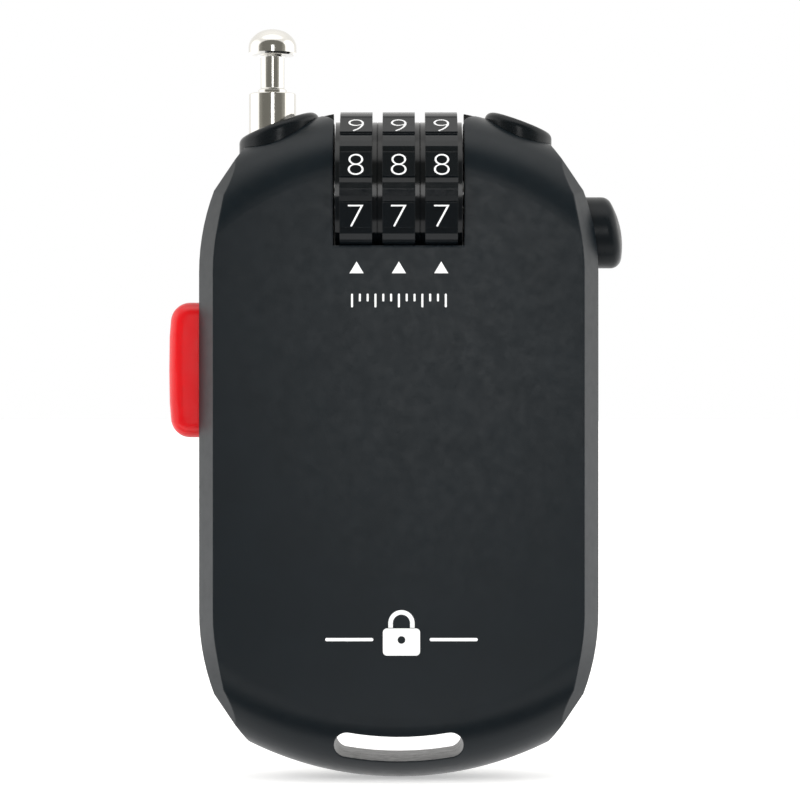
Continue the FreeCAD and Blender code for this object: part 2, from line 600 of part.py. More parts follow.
# ---------------------------------------------------------------- the cable's end pin and its straight run
pin_body = doc.addObject("PartDesign::Body", "pin_form")
s = sketch(pin_body, "XZ_Plane")
polygon(s, [("0", "sleeve_low"), ("sleeve_r - 0.3", "sleeve_low"), ("sleeve_r", "sleeve_low + 0.4"), ("sleeve_r", "sleeve_top - 0.15"), ("sleeve_r - 0.2", "sleeve_top + 0.05"),
            ("neck_r + 0.25", "sleeve_top + 0.3"), ("neck_r", "sleeve_top + 0.55"), ("neck_r", "head_low - 0.1"), ("neck_r + 0.35", "head_low"),
            ("head_r - 0.28", "head_low + 0.02"), ("head_r", "head_low + 0.3"), ("head_r", "head_low + 1.05"), ("head_r - 0.1", "head_low + 1.45"), ("head_r - 0.34", "head_low + 1.9"),
            ("head_r - 0.72", "head_low + 2.34"), ("1.46", "pin_top - 0.33"), ("0.8", "pin_top - 0.1"), ("0", "pin_top")])
doc.recompute()
rv = pin_body.newObject("PartDesign::Revolution", "pin_turned")
rv.Profile = s
rv.ReferenceAxis = (next(f for f in pin_body.Origin.OriginFeatures if f.Role == "Z_Axis"), [""])
rv.Angle = 360
doc.recompute()
put(pin_body, ("pin_x", "0", "0"))
part(cut(pin_body, [cyl("cable_r", "8", "Z", ("pin_x", "0", "sleeve_low - 1"))], "cable_pin"), "cable_pin")
part(cyl("cable_r", "sleeve_low + 7 - reel_z", "Z", ("pin_x", "0", "reel_z"), "cable_run"), "cable_run")

# ---------------------------------------------------------------- reel
rb = doc.addObject("PartDesign::Body", "reel_turned")
s = sketch(rb, "XY_Plane")
polygon(s, [("axle_r + run_play", "groove_half"), ("hub_cavity", "groove_half"), ("hub_cavity", "-groove_half"), ("drum_r", "-groove_half"), ("drum_r", "groove_half"),
            ("flange_r", "groove_half"), ("flange_r", "groove_half + flange_w"), ("axle_r + run_play", "groove_half + flange_w")])
doc.recompute()
rv = rb.newObject("PartDesign::Revolution", "reel_form")
rv.Profile = s
rv.ReferenceAxis = (next(f for f in rb.Origin.OriginFeatures if f.Role == "Y_Axis"), [""])
rv.Angle = 360
doc.recompute()
s = sketch(rb, "XZ_Plane")
TEETH = 24
a = math.radians(360 / TEETH)
polygon(s, [("tooth_root", "0"), ("flange_r + 0.6", "0"), ("(flange_r + 0.6)*%.6f" % math.cos(a * 0.82), "(flange_r + 0.6)*%.6f" % math.sin(a * 0.82)), ("(flange_r - 0.1)*%.6f" % math.cos(a * 0.82), "(flange_r - 0.1)*%.6f" % math.sin(a * 0.82))])
doc.recompute()
k = rb.newObject("PartDesign::Pocket", "ratchet_gap")
k.Profile = s
k.Type = "ThroughAll"
if hasattr(k, "SideType"):
    k.SideType = "Symmetric"
else:
    k.Midplane = True
doc.recompute()
pp = rb.newObject("PartDesign::PolarPattern", "ratchet_teeth")
pp.Originals = [k]
pp.Axis = (next(f for f in rb.Origin.OriginFeatures if f.Role == "Y_Axis"), [""])
pp.Angle = 360
pp.Occurrences = TEETH
rb.Tip = pp
doc.recompute()
put(rb, ("reel_x", "0", "reel_z"))
COVER = [(11.6 * math.cos(math.radians(q)), 11.6 * math.sin(math.radians(q))) for q in (30, 150, 270)]
holes = [cyl("0.5", "3.2", "Y", ("reel_x + %.5f" % x, "-groove_half - 0.1", "reel_z + %.5f" % z)) for x, z in COVER]
holes.append(cyl("0.82", "2.6", "X", ("reel_x + hub_cavity - 0.5", "0", "reel_z")))
part(cut(rb, holes, "cable_reel"), "cable_reel")
disc = cyl("flange_r", "flange_w", "-Y", ("reel_x", "-groove_half", "reel_z"))
part(cut(disc, [cyl("axle_r + run_play", "3", "-Y", ("reel_x", "-groove_half + 1", "reel_z"))] +
         [cyl("0.55", "3", "-Y", ("reel_x + %.5f" % x, "-groove_half + 1", "reel_z + %.5f" % z)) for x, z in COVER], "reel_cover"), "reel_cover")
group = named("Part::Compound", "reel_cover_screws")
group.Links = [fuse([cyl("0.5", "3.4", "Y", ("reel_x + %.5f" % x, "-groove_half - flange_w", "reel_z + %.5f" % z)),
                     cyl("0.85", "0.45", "-Y", ("reel_x + %.5f" % x, "-groove_half - flange_w", "reel_z + %.5f" % z))]) for x, z in COVER]
for f in group.Links:
    f.Refine = True
# the pilot holes in the drum end where the shanks end
part(group, "reel_cover_screws")


# flat spiral mainspring: half turns about two centres, from the arbor to the wall of the hub
def spiral(name):
    pitch, t, r0, halves = 1.0, 0.35, 2.35, 15
    inner, outer, ends = [], [], []
    for side, off in (("in", 0.0), ("out", t)):
        r, c, edges = r0 + off, 0.0, []
        for k in range(halves):
            sg = 1 if k % 2 == 0 else -1
            a, b = V(c + sg * r, 0, 0), V(c - sg * r, 0, 0)
            m = V(c, 0, sg * r)
            edges.append(Part.Arc(a, m, b).toShape())
            c2 = c + sg * pitch / 2
            r += pitch / 2
            c = c2
        (inner if side == "in" else outer).extend(edges)
    first = Part.LineSegment(inner[0].valueAt(inner[0].FirstParameter), outer[0].valueAt(outer[0].FirstParameter)).toShape()
    last = Part.LineSegment(inner[-1].valueAt(inner[-1].LastParameter), outer[-1].valueAt(outer[-1].LastParameter)).toShape()
    w = Part.Wire(Part.__sortEdges__(inner + outer + [first, last]))
    f = doc.addObject("Part::Feature", name)
    f.Shape = Part.Face(w).extrude(V(0, 5.6, 0))
    f.Placement = P(V(N["reel_x"], -2.9, N["reel_z"]), R())
    return part(f, name)


spiral("mainspring")

turns = [torus("coil_in", "coil_wire", "Y", ("reel_x", "%s*coil_pitch" % q, "reel_z")) for q in ("-1.5", "-0.5", "0.5", "1.5")]
turns += [torus("coil_out", "coil_wire", "Y", ("reel_x", "%s*coil_pitch" % q, "reel_z")) for q in ("-1", "1")]
# the last turn stops where the straight run begins
last = torus("coil_out", "coil_wire", "Y", ("reel_x", "0", "reel_z"), end=275, turn=R(V(0, 1, 0), -95).multiply(R(V(1, 0, 0), -90)))
turns.append(last)
group = named("Part::Compound", "cable_coil")
group.Links = turns
part(group, "cable_coil")
part(fuse([cyl("0.8", "2.3", "X", ("reel_x + hub_cavity - 0.4", "0", "reel_z")), cyl("1.3", "0.35", "-X", ("reel_x + hub_cavity - 0.4", "0", "reel_z"))], "cable_anchor"), "cable_anchor")

axle = fuse([cyl("axle_r", "9.2", "Y", ("reel_x", "-5.0", "reel_z")), cyl("1.6", "1.3", "Y", ("reel_x", "-6.3", "reel_z"))])
part(cut(axle, [cyl("0.8", "4", "Y", ("reel_x", "0.6", "reel_z"))], "reel_axle"), "reel_axle")
part(cut(cyl("3.8", "0.3", "Y", ("reel_x", "4.35", "reel_z")), [cyl("0.85", "2", "Y", ("reel_x", "4", "reel_z"))], "thrust_washer"), "thrust_washer")
part(cut(fuse([cyl("0.8", "3.6", "Y", ("reel_x", "1.1", "reel_z")), cyl("2.2", "0.7", "Y", ("reel_x", "4.7", "reel_z"))]), [box("reel_x - 1.6", "reel_x + 1.6", "5.05", "6", "reel_z - 0.25", "reel_z + 0.25")], "axle_screw"), "axle_screw")

# ---------------------------------------------------------------- retract button, its spring, pawl
bb = doc.addObject("PartDesign::Body", "button_form")
s = sketch(bb, "XZ_Plane")
polygon(s, [("btn_in", "-btn_half"), ("btn_in", "btn_half"), ("btn_out + 0.35", "btn_half"), ("btn_out + 0.05", "btn_half*0.5"), ("btn_out", "0"), ("btn_out + 0.05", "-btn_half*0.5"), ("btn_out + 0.35", "-btn_half")])
p = pad(bb, s, "2*btn_y", mid=True)
f1 = fillet_on(p, lambda e: abs(mid(e).x - N["btn_out"] - 0.35) < 0.01 and abs(abs(mid(e).z) - N["btn_half"]) < 0.01 and abs(mid(e).y) < 0.01, "2.2", bb)
f2 = fillet_on(f1, lambda e: abs(abs(mid(e).y) - N["btn_y"]) < 0.01 and mid(e).x < N["btn_in"] - 0.1, "1.5", bb)
put(bb, ("0", "0", "btn_z"))
rim = box("btn_in", "btn_in + 1.0", "-2.8", "2.8", "btn_z - btn_half - 0.8", "btn_z + btn_half + 0.8")
rim2 = box("btn_in - 0.6", "btn_in + 0.02", "-2.2", "2.2", "btn_z - btn_half - 0.8", "btn_z + btn_half + 0.8")
finger = box("btn_in + 0.9", "-18.05", "2.4", "4.3", "50.6", "51.9")
stud = cyl("0.7", "1.3", "X", ("btn_in + 1", "0", "50.6"))
hollow = box("btn_out + 2.4", "btn_in + 0.1", "-1.8", "1.8", "btn_z - 5.8", "btn_z + 3.0")
part(cut(fuse([bb, rim, finger, stud]), [hollow], "retract_button"), "retract_button")
coil_spring("retract_spring", "0.18", "1.15", "2.5", "4", "X", ("-19.05", "0", "50.6"))

tip_a = math.radians(165)
tx, tz = 18.68 * math.cos(tip_a), 18.68 * math.sin(tip_a)
pb = doc.addObject("PartDesign::Body", "pawl_form")
s = sketch(pb, "XZ_Plane")
polygon(s, [("-0.7", "7.6"), ("0.7", "7.6"), ("0.8", "0"), ("pawl_nose_x", "pawl_nose_z") if "pawl_nose_x" in N else ("reel_x + %.4f - pawl_x" % tx, "reel_z + %.4f - pawl_z" % tz),
            ("reel_x + %.4f - pawl_x - 1.0" % tx, "reel_z + %.4f - pawl_z + 0.3" % tz), ("-0.8", "0")])
p = pad(pb, s, "pawl_w", back=True)
put(pb, ("pawl_x", "groove_half + 0.05", "pawl_z"))
part(cut(fuse([pb, cyl("1.5", "pawl_w", "Y", ("pawl_x", "groove_half + 0.05", "pawl_z"))]), [cyl("pawl_pin_r + run_play", "4", "Y", ("pawl_x", "groove_half - 1", "pawl_z"))], "pawl"), "pawl")
part(cyl("pawl_pin_r", "coil_half_gap", "Y", ("pawl_x", "3.1", "pawl_z"), "pawl_pin") if "coil_half_gap" in N else cyl("pawl_pin_r", "3.5", "Y", ("pawl_x", "2.9", "pawl_z"), "pawl_pin"), "pawl_pin")
ring = torus("1.15", "0.2", "Y", ("pawl_x", "4.62", "pawl_z"))
leg = cyl("0.18", "3.4", "Z", ("pawl_x - 1.15", "4.62", "pawl_z"))
part(fuse([ring, leg], "pawl_spring"), "pawl_spring")

# ---------------------------------------------------------------- checks and export
doc.recompute()
bad = [o.Name for o in doc.Objects if "Invalid" in o.State or "Error" in o.State]
if bad:
    raise RuntimeError("not computed: %s" % bad)
for o in PARTS:
    sh = o.Shape
    if sh.isNull() or not sh.isValid() or not sh.Solids:
        raise RuntimeError("bad shape: %s" % o.Label)
os.makedirs("parts", exist_ok=True)
for o in PARTS:
    o.Shape.exportStep("parts/%s.step" % o.Label)
    bb_ = o.Shape.BoundBox
    print("%-20s solids %d volume %9.2f  x %.2f %.2f  y %.2f %.2f  z %.2f %.2f" % (o.Label, len(o.Shape.Solids), o.Shape.Volume, bb_.XMin, bb_.XMax, bb_.YMin, bb_.YMax, bb_.ZMin, bb_.ZMax))
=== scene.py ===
"""Looks of the cable luggage lock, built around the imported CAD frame.  Metres, +Z up, face towards -Y."""
import json
import math

import bpy
from mathutils import Matrix, Vector


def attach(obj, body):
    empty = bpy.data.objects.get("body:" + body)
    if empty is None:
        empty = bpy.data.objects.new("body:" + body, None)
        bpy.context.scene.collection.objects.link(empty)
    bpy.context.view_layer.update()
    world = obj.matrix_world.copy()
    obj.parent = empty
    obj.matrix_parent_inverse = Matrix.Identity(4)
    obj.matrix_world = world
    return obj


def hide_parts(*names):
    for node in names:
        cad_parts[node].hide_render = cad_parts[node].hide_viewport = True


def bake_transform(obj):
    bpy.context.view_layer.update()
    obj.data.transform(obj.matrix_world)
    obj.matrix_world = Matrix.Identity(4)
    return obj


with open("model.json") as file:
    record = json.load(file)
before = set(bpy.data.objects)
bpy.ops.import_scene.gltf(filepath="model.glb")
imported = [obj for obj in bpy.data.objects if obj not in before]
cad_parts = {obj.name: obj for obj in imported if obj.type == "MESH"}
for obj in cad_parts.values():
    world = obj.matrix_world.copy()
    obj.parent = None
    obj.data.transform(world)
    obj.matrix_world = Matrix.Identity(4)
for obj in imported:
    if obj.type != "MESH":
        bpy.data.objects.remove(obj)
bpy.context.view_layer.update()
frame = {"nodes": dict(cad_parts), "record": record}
NODES = frame["nodes"]
SCENE = bpy.context.scene
MM = 0.001

# ---------------------------------------------------------------- camera
cam_data = bpy.data.cameras.new("camera")
cam_data.lens = 135.83
cam_data.sensor_width = 36.0
cam_data.clip_start, cam_data.clip_end = 0.01, 50
camera = bpy.data.objects.new("camera", cam_data)
camera.location = (0.14 * MM, -340 * MM, 42.24 * MM)
camera.rotation_euler = (math.radians(90), 0, 0)
SCENE.collection.objects.link(camera)
SCENE.camera = camera
SCENE.view_settings.view_transform = "Standard"
SCENE.view_settings.look = "None"
SCENE.view_settings.exposure = 0.0
SCENE.view_settings.gamma = 1.0


# ---------------------------------------------------------------- node helpers
def lin(r, g, b):
    """sRGB 0..255 to linear."""
    def f(c):
        c /= 255.0
        return c / 12.92 if c <= 0.04045 else ((c + 0.055) / 1.055) ** 2.4
    return (f(r), f(g), f(b), 1.0)


class Tree:
    """A small wrapper that makes nodes and joins them."""

    def __init__(self, tree):
        self.t = tree
        self.t.nodes.clear()

    def node(self, kind, **props):
        n = self.t.nodes.new(kind)
        for k, v in props.items():
            setattr(n, k, v)
        return n

    def put(self, node, name, value):
        s = node.inputs[name]
        if isinstance(value, bpy.types.NodeSocket):
            self.t.links.new(value, s)
        else:
            s.default_value = value
        return node

    def math(self, op, a, b=0.0, c=None, clamp=False):
        n = self.node("ShaderNodeMath", operation=op, use_clamp=clamp)
        self.put(n, 0, a)
        self.put(n, 1, b)
        if c is not None:
            self.put(n, 2, c)
        return n.outputs[0]

    def ramp(self, x, a, b, lo=0.0, hi=1.0, smooth=True):
        n = self.node("ShaderNodeMapRange", interpolation_type="SMOOTHSTEP" if smooth else "LINEAR")
        for k, v in (("Value", x), ("From Min", a), ("From Max", b), ("To Min", lo), ("To Max", hi)):
            self.put(n, k, v)
        return n.outputs[0]

    def mix(self, t, a, b, mode="MIX"):
        n = self.node("ShaderNodeMix", data_type="RGBA", blend_type=mode)
        self.put(n, 0, t)
        for k, v in ((6, a), (7, b)):
            if isinstance(v, bpy.types.NodeSocket):
                self.t.links.new(v, n.inputs[k])
            else:
                n.inputs[k].default_value = v
        return n.outputs[2]

    def where(self):
        return self.node("ShaderNodeTexCoord").outputs["Object"]

    def noise(self, scale, detail=2.0, rough=0.5, at=None, stretch=None):
        at = at or self.where()
        if stretch:
            m = self.node("ShaderNodeMapping")
            self.put(m, "Vector", at)
            m.inputs["Scale"].default_value = stretch
            at = m.outputs[0]
        n = self.node("ShaderNodeTexNoise")
        self.put(n, "Vector", at)
        self.put(n, "Scale", scale)
        self.put(n, "Detail", detail)
        self.put(n, "Roughness", rough)
        return n.outputs[0]

    def bump(self, height, strength, distance, normal=None):
        n = self.node("ShaderNodeBump")
        self.put(n, "Height", height)
        self.put(n, "Strength", strength)
        self.put(n, "Distance", distance)
        if normal is not None:
            self.put(n, "Normal", normal)
        return n.outputs[0]

    def bevel(self, radius, samples=4):
        n = self.node("ShaderNodeBevel", samples=samples)
        self.put(n, "Radius", radius)
        return n.outputs[0]

    def edges(self, bevel):
        """1 on rounded edges, 0 on flat ground."""
        g = self.node("ShaderNodeNewGeometry")
        d = self.node("ShaderNodeVectorMath", operation="DOT_PRODUCT")
        self.put(d, 0, bevel)
        self.put(d, 1, g.outputs["Normal"])
        return self.ramp(d.outputs["Value"], 0.995, 0.80)


def material(name):
    m = bpy.data.materials.new(name)
    m.use_nodes = True
    t = Tree(m.node_tree)
    out = t.node("ShaderNodeOutputMaterial")
    p = t.node("ShaderNodeBsdfPrincipled")
    t.t.links.new(p.outputs[0], out.inputs[0])
    return m, t, p


def plastic(name, colour, rough=0.4, spec=0.5, grain=(5200.0, 0.10), bevel=0.18, vary=0.12, edge_highlight=0.25, crown=None, sss=0.0, flow=0.04, edge_highlight_colour=None):
    """Moulded plastic: fine grain, slow changes of gloss and tone, and rounded edges whose colour is mixed towards a
    lighter one as a painted highlight.
    """
    m, t, p = material(name)
    slow = t.noise(170.0, 3.0, 0.55)
    fine = t.noise(grain[0], 2.0, 0.6)
    tone = t.ramp(slow, 0.3, 0.7, 1.0 - vary, 1.0 + vary, smooth=False)
    base = t.node("ShaderNodeVectorMath", operation="SCALE")
    base.inputs[0].default_value = colour[:3]
    t.put(base, 3, tone)
    col = base.outputs[0]
    normal = None
    r = t.ramp(t.noise(900.0, 3.0, 0.6), 0.3, 0.7, rough - flow, rough + flow, smooth=False)
    if bevel:
        normal = t.bevel(bevel * MM)
        edge = t.edges(normal)
        # painted highlight: the rounded edges are mixed towards a lighter colour, standing in for their reflection of
        # the bright surroundings
        col = t.mix(t.math("MULTIPLY", edge, edge_highlight), col, edge_highlight_colour or tuple(min(1.0, c * 2.2 + 0.004) for c in colour[:3]) + (1.0,))
        r = t.math("SUBTRACT", r, t.math("MULTIPLY", edge, 0.05))
    if crown:
        s = t.node("ShaderNodeSeparateXYZ")
        t.put(s, 0, t.where())
        h = t.math("MULTIPLY", t.math("MULTIPLY", s.outputs[0], s.outputs[0]), -crown)
        normal = t.bump(h, 1.0, 1.0, normal)
    normal = t.bump(fine, grain[1], 0.02 * MM, normal)
    t.put(p, "Base Color", col)
    t.put(p, "Roughness", r)
    t.put(p, "Specular IOR Level", spec)
    t.put(p, "Normal", normal)
    if sss:
        t.put(p, "Subsurface Weight", sss)
        p.inputs["Subsurface Radius"].default_value = (0.0012, 0.0005, 0.0004)
    return m


def metal(name, colour, rough=0.25, brush=(1.0, 1.0, 1.0), scale=2500.0, depth=0.12, rings=None, vary=0.08, bevel=0.0, spread=0.08):
    """Bare or plated metal: drawing or turning marks, and a slight change of colour."""
    m, t, p = material(name)
    marks = t.noise(scale, 4.0, 0.6, stretch=brush)
    slow = t.noise(300.0, 2.0, 0.5)
    tone = t.ramp(slow, 0.3, 0.7, 1.0 - vary, 1.0 + vary * 0.4, smooth=False)
    base = t.node("ShaderNodeVectorMath", operation="SCALE")
    base.inputs[0].default_value = colour[:3]
    t.put(base, 3, tone)
    normal = t.bevel(bevel * MM) if bevel else None
    height = marks
    if rings:
        w = t.node("ShaderNodeTexWave", wave_type="BANDS", bands_direction=rings)
        t.put(w, "Vector", t.where())
        t.put(w, "Scale", 1400.0)
        t.put(w, "Distortion", 1.2)
        t.put(w, "Detail", 2.0)
        height = t.math("ADD", marks, w.outputs["Fac"])
    t.put(p, "Base Color", base.outputs[0])
    t.put(p, "Metallic", 1.0)
    t.put(p, "Roughness", t.ramp(marks, 0.3, 0.7, max(0.02, rough - spread), rough + spread, smooth=False))
    t.put(p, "Normal", t.bump(height, depth, 0.01 * MM, normal))
    return m


# ---------------------------------------------------------------- materials
BLACK = (0.0032, 0.0066, 0.0094, 1)
# each plastic's rounded edges get a painted highlight, a lighter colour mixed in at the edges
MATS = {
    "case_black": plastic("case_black", BLACK, rough=0.33, spec=0.30, grain=(5200.0, 0.16), bevel=0.30, vary=0.07, edge_highlight=0.35, crown=0.5),
    "collar_black": plastic("collar_black", (0.0030, 0.0048, 0.0062, 1), rough=0.27, spec=0.24, grain=(5600.0, 0.14), bevel=0.12, vary=0.07, edge_highlight=0.3),
    "dial_black": plastic("dial_black", (0.0032, 0.0046, 0.0058, 1), rough=0.13, spec=0.40, grain=(7000.0, 0.04), bevel=0.06, vary=0.10, edge_highlight=0.5),
    "knob_black": plastic("knob_black", (0.0050, 0.0070, 0.0086, 1), rough=0.30, spec=0.19, grain=(6500.0, 0.18), bevel=0.10, vary=0.08, edge_highlight=0.2),
    "frame_grey": plastic("frame_grey", (0.0090, 0.0095, 0.0100, 1), rough=0.50, spec=0.4, grain=(4200.0, 0.2), bevel=0.10, vary=0.10, edge_highlight=0.3),
    "reel_white": plastic("reel_white", (0.66, 0.655, 0.62, 1), rough=0.38, spec=0.5, grain=(3800.0, 0.08), bevel=0.12, vary=0.04, edge_highlight=0.1, sss=0.1),
    # the red button has the strongest painted highlight, pink, on its rounded edges
    "button_red": plastic("button_red", (0.63, 0.0050, 0.0085, 1), rough=0.13, spec=0.48, grain=(6000.0, 0.06), bevel=0.45, vary=0.05, edge_highlight=0.8, flow=0.03, edge_highlight_colour=(0.82, 0.24, 0.29, 1)),
    "cable_steel": metal("cable_steel", (0.60, 0.60, 0.58, 1), rough=0.26, scale=3000.0, depth=0.10),
    "inner_steel": metal("inner_steel", (0.56, 0.56, 0.55, 1), rough=0.30, brush=(1, 1, 0.15), depth=0.10, bevel=0.06),
    "spring_steel": metal("spring_steel", (0.42, 0.42, 0.43, 1), rough=0.24, scale=2600.0, depth=0.08),
    "screw_steel": metal("screw_steel", (0.36, 0.36, 0.37, 1), rough=0.32, scale=3200.0, depth=0.14, bevel=0.08),
    "ring_brass": metal("ring_brass", (0.72, 0.52, 0.24, 1), rough=0.26, rings="X", depth=0.05, bevel=0.06),
}
PIN = metal("pin_nickel", (0.80, 0.785, 0.745, 1), rough=0.115, brush=(1, 1, 8.0), scale=900.0, depth=0.035, rings="Z", spread=0.03, vary=0.03)
MATS["pin_chrome"] = PIN
slot_of = {s["node"]: s["material_slot"] for s in frame["record"]["subparts"]}
for name, obj in NODES.items():
    obj.data.materials.clear()
    obj.data.materials.append(MATS[slot_of[name]])

# white pad print, a little uneven
PRINT, pt, pp = material("print_white")
ink = pt.noise(5200.0, 3.0, 0.6)
pt.put(pp, "Base Color", pt.mix(pt.ramp(ink, 0.35, 0.65), (0.80, 0.81, 0.82, 1), (0.90, 0.905, 0.91, 1)))
pt.put(pp, "Roughness", pt.ramp(ink, 0.3, 0.7, 0.42, 0.55, smooth=False))
pt.put(pp, "Specular IOR Level", 0.4)
pt.put(pp, "Normal", pt.bump(ink, 0.12, 0.01 * MM))


# ---------------------------------------------------------------- mesh helpers
def mesh_object(name, verts, faces, mat, smooth=35.0):
    me = bpy.data.meshes.new(name)
    me.from_pydata([tuple(v) for v in verts], [], faces)
    me.validate()
    me.update()
    me.materials.append(mat)
    me.shade_smooth()
    if smooth is not None:
        me.set_sharp_from_angle(angle=math.radians(smooth))
    o = bpy.data.objects.new(name, me)
    SCENE.collection.objects.link(o)
    return o


def arc_pts(cx, cy, r, a0, a1, n):
    return [(cx + r * math.cos(math.radians(a0 + (a1 - a0) * i / n)), cy + r * math.sin(math.radians(a0 + (a1 - a0) * i / n))) for i in range(n + 1)]


def rounded_profile(points, n=6):
    """Corner points (r, z, radius) to a line with true arcs at the corners."""
    out = []
    for i, (x, y, rad) in enumerate(points):
        if rad <= 0 or i == 0 or i == len(points) - 1:
            out.append((x, y))
            continue
        a, b, c = Vector(points[i - 1][:2]), Vector((x, y)), Vector(points[i + 1][:2])
        u, v = (a - b).normalized(), (c - b).normalized()
        half = u.angle(v) / 2
        d = min(rad / math.tan(half), 0.49 * (a - b).length, 0.49 * (c - b).length)
        r = d * math.tan(half)
        centre = b + (u + v).normalized() * (r / math.sin(half))
        p, q = b + u * d - centre, b + v * d - centre
        turn = p.angle_signed(q)
        for k in range(n + 1):
            w = -turn * k / n
            out.append((centre.x + p.x * math.cos(w) - p.y * math.sin(w), centre.y + p.x * math.sin(w) + p.y * math.cos(w)))
    return out


def lathe(name, profile, centre, mat, segments=128, smooth=32.0, inner_close=True):
    """Turns a profile (r, z in millimetres) about a line along Z through centre."""
    verts, faces, rings = [], [], []
    for r, z in profile:
        if r < 1e-6:
            rings.append([len(verts)])
            verts.append((centre[0] * MM, centre[1] * MM, z * MM))
        else:
            rings.append(list(range(len(verts), len(verts) + segments)))
            for k in range(segments):
                a = 2 * math.pi * k / segments
                verts.append(((centre[0] + r * math.cos(a)) * MM, (centre[1] + r * math.sin(a)) * MM, z * MM))
    for i in range(len(rings) - 1):
        p, q = rings[i], rings[i + 1]
        for k in range(segments):
            n = (k + 1) % segments
            if len(p) == 1 and len(q) == 1:
                continue
            if len(p) == 1:
                faces.append((p[0], q[n], q[k]))
            elif len(q) == 1:
                faces.append((p[k], p[n], q[0]))
            else:
                faces.append((p[k], p[n], q[n], q[k]))
    return mesh_object(name, verts, faces, mat, smooth)


def rope(name, path, radius, mat, strands=6, pitch=5.0, segments=24, caps=True, lobe=0.17):
    """A laid wire rope along path (millimetres): outer strands as lobes that twist along the rope."""
    pts = [Vector(p) for p in path]
    tangents = [(pts[min(i + 1, len(pts) - 1)] - pts[max(i - 1, 0)]).normalized() for i in range(len(pts))]
    up = Vector((0, 1, 0)) if abs(tangents[0].y) < 0.9 else Vector((1, 0, 0))
    side = tangents[0].cross(up).normalized()
    verts, faces, run = [], [], 0.0
    for i, (p, t) in enumerate(zip(pts, tangents)):
        if i:
            run += (p - pts[i - 1]).length
            side = (side - t * side.dot(t)).normalized()
        other = t.cross(side)
        twist = 2 * math.pi * run / pitch
        for k in range(segments):
            a = 2 * math.pi * k / segments
            bump = abs(math.cos(strands * (a - twist) / 2.0)) ** 0.6
            r = radius * (1 - lobe * (1 - bump))
            verts.append((p + side * (r * math.cos(a)) + other * (r * math.sin(a))) * MM)
        if i:
            b, c = (i - 1) * segments, i * segments
            faces += [(b + k, b + (k + 1) % segments, c + (k + 1) % segments, c + k) for k in range(segments)]
    if caps:
        faces.append(tuple(reversed(range(segments))))
        faces.append(tuple(range((len(pts) - 1) * segments, len(pts) * segments)))
    return mesh_object(name, verts, faces, mat, None)


# ---------------------------------------------------------------- cable end pin, turned
PX = -14.2
pin_profile = rounded_profile([
    (0.82, 64.2, 0), (0.82, 62.7, 0.05), (2.35, 62.7, 0.1), (2.65, 63.1, 0.2), (2.65, 76.62, 0), (2.55, 76.73, 0.05), (1.62, 76.76, 0.05),
    (1.60, 77.12, 0.08), (1.35, 77.32, 0.12), (1.35, 80.86, 0.1), (1.62, 81.0, 0.05), (2.42, 81.0, 0.2), (2.70, 81.28, 0.2),
]) + [(2.70, 81.6), (2.70, 81.85), (2.695, 82.05), (2.665, 82.25), (2.60, 82.47), (2.50, 82.69), (2.36, 82.91), (2.19, 83.12), (1.98, 83.33), (1.74, 83.52),
      (1.46, 83.68), (1.15, 83.81), (0.80, 83.91), (0.42, 83.975), (0.0, 84.0)]
pin = lathe("end_pin", [(0.0, 64.2)] + pin_profile, (PX, 0), PIN, segments=144)
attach(pin, "cable_end")
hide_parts("cable_pin")

# straight stretch of wire rope behind the pin
Z0, Z1 = 34.0, 64.2
run_path = [(PX, 0, Z0 + (Z1 - Z0) * i / 200.0) for i in range(201)]
run = rope("cable_run_rope", run_path, 0.79, MATS["cable_steel"], pitch=6.0)
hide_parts("cable_run")
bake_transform(run)

# the winding on the drum: one rope, inner layer of four turns, outer layer of three
CX, CZ = 0.75, 34.0
wind = []
STEPS = 150
turns_in, turns_out = 4.0, 3.0
total = int((turns_in + turns_out) * STEPS)
for i in range(total + 1):
    q = i / STEPS
    if q <= turns_in - 0.15:
        y, r = 1.62 * (q / (turns_in - 0.15) * 3.0 - 1.5), 13.4
    else:
        s = min(1.0, (q - turns_in + 0.15) / 0.3)
        s = s * s * (3 - 2 * s)
        u = max(0.0, (q - turns_in - 0.15) / (turns_out - 0.15))
        r = 13.4 + 1.55 * s
        y = 2.43 - 0.81 * s - 3.24 * min(1.0, u / 0.93) * 0.5
        if u > 0:
            y = 1.62 - 1.62 * min(1.0, u)
    # the last point is on the -X side, where the rope leaves upwards
    a = math.pi + 2 * math.pi * (turns_in + turns_out) - 2 * math.pi * q
    wind.append((CX + r * math.cos(a), y, CZ - r * math.sin(a)))
coil = rope("cable_winding", wind, 0.765, MATS["cable_steel"], pitch=6.0, segments=18, lobe=0.15)
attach(coil, "reel")
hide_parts("cable_coil")

# ---------------------------------------------------------------- the two coil springs
def coil_piece(name, x0, x1, cz, radius, wire, turns, node):
    """A helix of round wire along X from x0 to x1, its first and last half turn flat."""
    pts, n = [], int(turns * 40)
    for i in range(n + 1):
        q = i / n
        t = min(1.0, max(0.0, (q * turns - 0.5) / (turns - 1.0)))
        a = 2 * math.pi * turns * q
        pts.append((x0 + (x1 - x0) * t, radius * math.sin(a), cz + radius * math.cos(a)))
    o = rope(name, pts, wire, MATS["spring_steel"], segments=12, lobe=0.0)
    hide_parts(node)
    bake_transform(o)
    return o


coil_piece("release_coil", 19.88, 22.66, 61.1, 2.38, 0.19, 3.5, "release_spring")
coil_piece("retract_coil", -16.58, -19.02, 50.6, 1.14, 0.17, 4.5, "retract_spring")

# ---------------------------------------------------------------- numbers on the dials
DIAL_Z, APOTHEM, PITCH = 65.4, 9.1, 4.72


